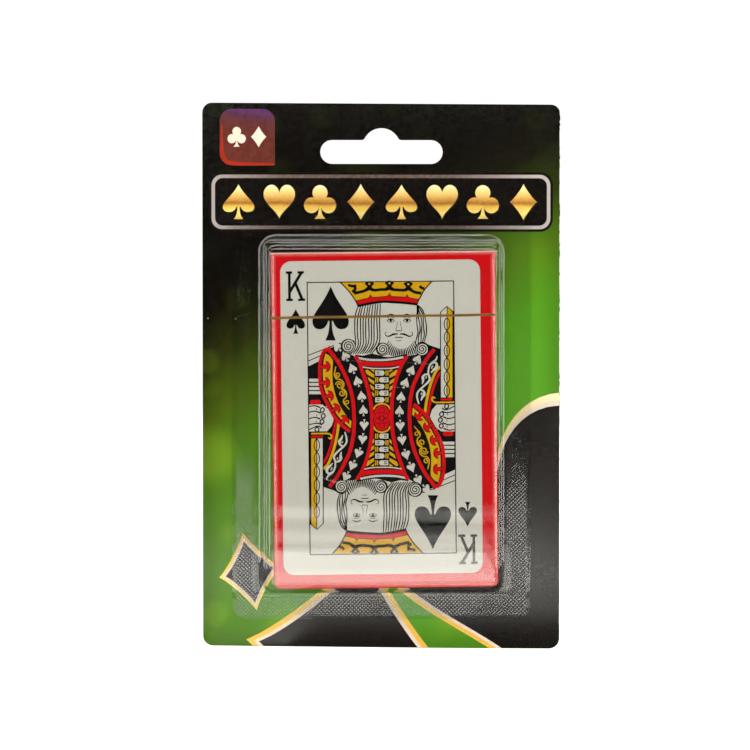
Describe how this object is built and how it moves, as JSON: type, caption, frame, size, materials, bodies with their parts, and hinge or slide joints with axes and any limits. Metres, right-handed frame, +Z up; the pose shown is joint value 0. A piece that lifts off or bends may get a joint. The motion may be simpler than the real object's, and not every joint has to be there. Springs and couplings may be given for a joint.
{
  "type": "playing card deck",
  "caption": "Deck of playing cards in a film-wrapped tuck box, held in a clear drafted blister sealed to a printed backing card with a peg-hook hang slot.",
  "frame": {"origin": "centre of the hang slot, on the back face of the backing card", "axes": "+Z up the backing card towards its top edge, +X to the right as seen from the front, -Y out of the printed front"},
  "size_m": [0.098, 0.0183, 0.1495],
  "materials": {
    "backing_board": "printed, gloss-varnished paperboard, black fading to green",
    "clear_blister": "clear thermoformed sheet with a knurled heat-seal band",
    "clear_film": "clear shrunk film",
    "gold_tape": "metallised gold tear tape",
    "box_board": "red printed, varnished boxboard",
    "box_board_inside": "uncoated inside of the boxboard",
    "card_stock": "coated card stock"
  },
  "bodies": {
    "backing": {"backing_card": "backing_board"},
    "boxed_deck": {"overwrap_sleeve": "clear_film", "tuck_box": "box_board", "dust_flap_left": "box_board_inside", "dust_flap_right": "box_board_inside", "jokers": "card_stock", "ace_of_hearts": "card_stock", "hearts_2_to_10": "card_stock", "jack_of_hearts": "card_stock", "queen_of_hearts": "card_stock", "king_of_hearts": "card_stock", "ace_of_clubs": "card_stock", "clubs_2_to_10": "card_stock", "jack_of_clubs": "card_stock", "queen_of_clubs": "card_stock", "king_of_clubs": "card_stock", "ace_of_diamonds": "card_stock", "diamonds_2_to_10": "card_stock", "jack_of_diamonds": "card_stock", "queen_of_diamonds": "card_stock", "king_of_diamonds": "card_stock", "ace_of_spades": "card_stock", "spades_2_to_10": "card_stock", "jack_of_spades": "card_stock", "queen_of_spades": "card_stock", "king_of_spades": "card_stock"},
    "blister": {"blister_shell": "clear_blister"},
    "film_cap": {"overwrap_cap": "clear_film", "tear_tape": "gold_tape"},
    "closure": {"tuck_flap": "box_board", "tuck_tongue": "box_board_inside"}
  },
  "joints": [
    {"name": "deck_pull", "type": "slide", "parent": "backing", "child": "boxed_deck", "axis": [0, -1, 0], "range_m": [0, 0.06]},
    {"name": "blister_pull", "type": "slide", "parent": "boxed_deck", "child": "blister", "axis": [0, -1, 0], "range_m": [0, 0.14]},
    {"name": "film_cap_slide", "type": "slide", "parent": "boxed_deck", "child": "film_cap", "axis": [-0.0105, 0, 0.9999], "range_m": [0, 0.0267]},
    {"name": "tuck_flap_hinge", "type": "hinge", "parent": "boxed_deck", "child": "closure", "pos_m": [0.00003, -0.01745, -0.0276], "axis": [0.9999, 0, 0.0105], "range_deg": [0, 88], "deforming": ["tuck_tongue"]}
  ],
  "couplings": [
    {"joint": "film_cap_slide", "follows": "blister_pull", "ratio": 0.19},
    {"joint": "tuck_flap_hinge", "follows": "blister_pull", "rad_per_m": 10.97}
  ]
}
